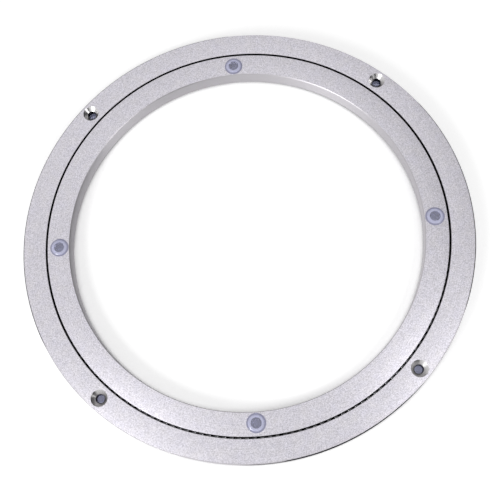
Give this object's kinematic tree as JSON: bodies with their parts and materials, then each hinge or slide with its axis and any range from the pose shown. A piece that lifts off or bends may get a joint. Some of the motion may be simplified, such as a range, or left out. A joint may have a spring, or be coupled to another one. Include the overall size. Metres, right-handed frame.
{
  "type": "lazy susan bearing",
  "caption": "Flat swivel bearing for a turntable: an inner ring with soft pads turns on a full row of balls inside an outer ring with soft feet, both with countersunk screw holes.",
  "frame": {"origin": "on the turning axis, at the level of the surface that the feet stand on", "axes": "+Z is the turning axis and points up to the turntable; the outer ring's screw holes lie at 45 degrees to X and Y, and the balls' filling plug faces +Y"},
  "size_m": [0.3, 0.3, 0.012],
  "materials": {
    "satin_aluminium": "fine satin, lathe turned",
    "plug_steel": "plain",
    "clear_silicone": "translucent, smooth",
    "ball_steel": "polished"
  },
  "bodies": {
    "fixed_ring": {"outer_ring": "satin_aluminium", "filler_plug": "plug_steel", "feet": "clear_silicone"},
    "turning_ring": {"inner_ring": "satin_aluminium", "top_pads": "clear_silicone"},
    "ball_row": {"steel_balls_1": "ball_steel", "steel_balls_2": "ball_steel", "steel_balls_3": "ball_steel", "steel_balls_4": "ball_steel", "steel_balls_5": "ball_steel", "steel_balls_6": "ball_steel", "steel_balls_7": "ball_steel", "steel_balls_8": "ball_steel", "steel_balls_9": "ball_steel", "steel_balls_10": "ball_steel", "steel_balls_11": "ball_steel", "steel_balls_12": "ball_steel", "steel_balls_13": "ball_steel", "steel_balls_14": "ball_steel", "steel_balls_15": "ball_steel", "steel_balls_16": "ball_steel", "steel_balls_17": "ball_steel", "steel_balls_18": "ball_steel", "steel_balls_19": "ball_steel", "steel_balls_20": "ball_steel", "steel_balls_21": "ball_steel", "steel_balls_22": "ball_steel"}
  },
  "joints": [
    {"name": "swivel", "type": "hinge", "parent": "fixed_ring", "child": "turning_ring", "pos_m": [0, 0, 0.006], "axis": [0, 0, 1], "continuous": true},
    {"name": "ball_travel", "type": "hinge", "parent": "fixed_ring", "child": "ball_row", "pos_m": [0, 0, 0.006], "axis": [0, 0, 1], "continuous": true}
  ],
  "couplings": [
    {"joint": "ball_travel", "follows": "swivel", "ratio": 0.49371}
  ]
}
